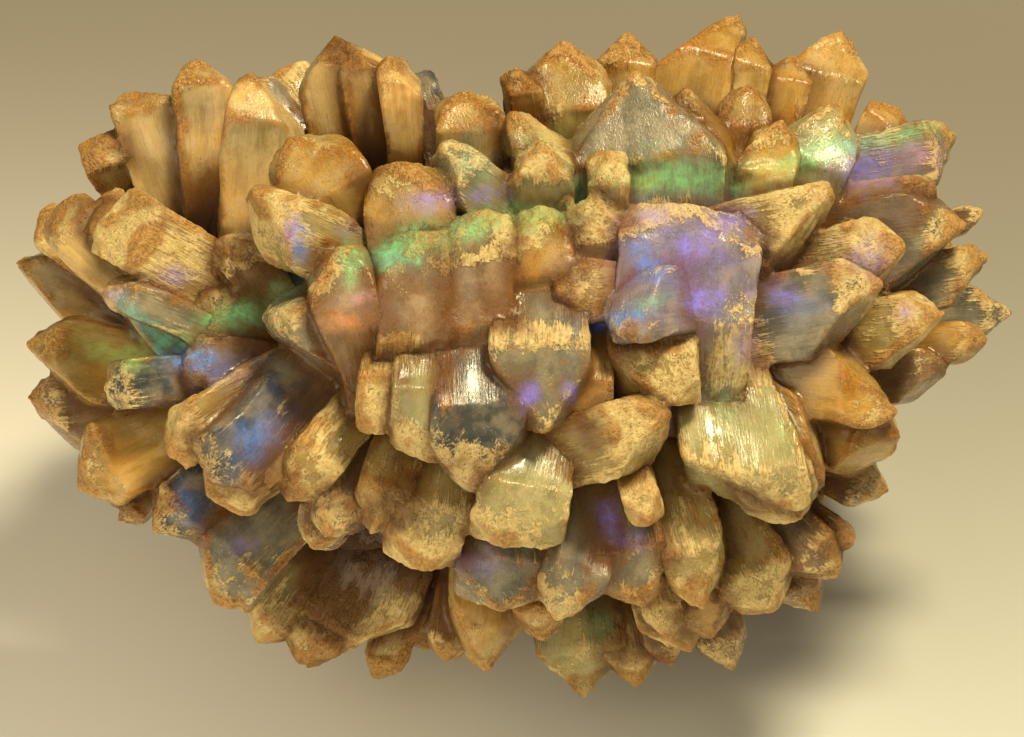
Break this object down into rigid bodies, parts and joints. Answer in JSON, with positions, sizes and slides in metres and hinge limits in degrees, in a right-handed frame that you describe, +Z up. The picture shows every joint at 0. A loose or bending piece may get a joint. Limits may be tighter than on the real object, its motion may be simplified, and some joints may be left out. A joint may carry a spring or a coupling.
{
  "type": "opal pineapple",
  "caption": "Closed ball of grown-together opal blades that radiate from one middle, a display specimen that rests on its lowest worn tips.",
  "frame": {"origin": "middle of the box in X and Y, level with the worn tips that it stands on", "axes": "+X along the longest extent, +Z up, -Y towards the drawn show side"},
  "size_m": [0.101, 0.0746, 0.069],
  "materials": {
    "opal": "waxy to glassy honey opal with a sandy crust and patches of green, blue and violet fire"
  },
  "bodies": {
    "root": {"opal_pineapple": "opal"}
  },
  "joints": []
}
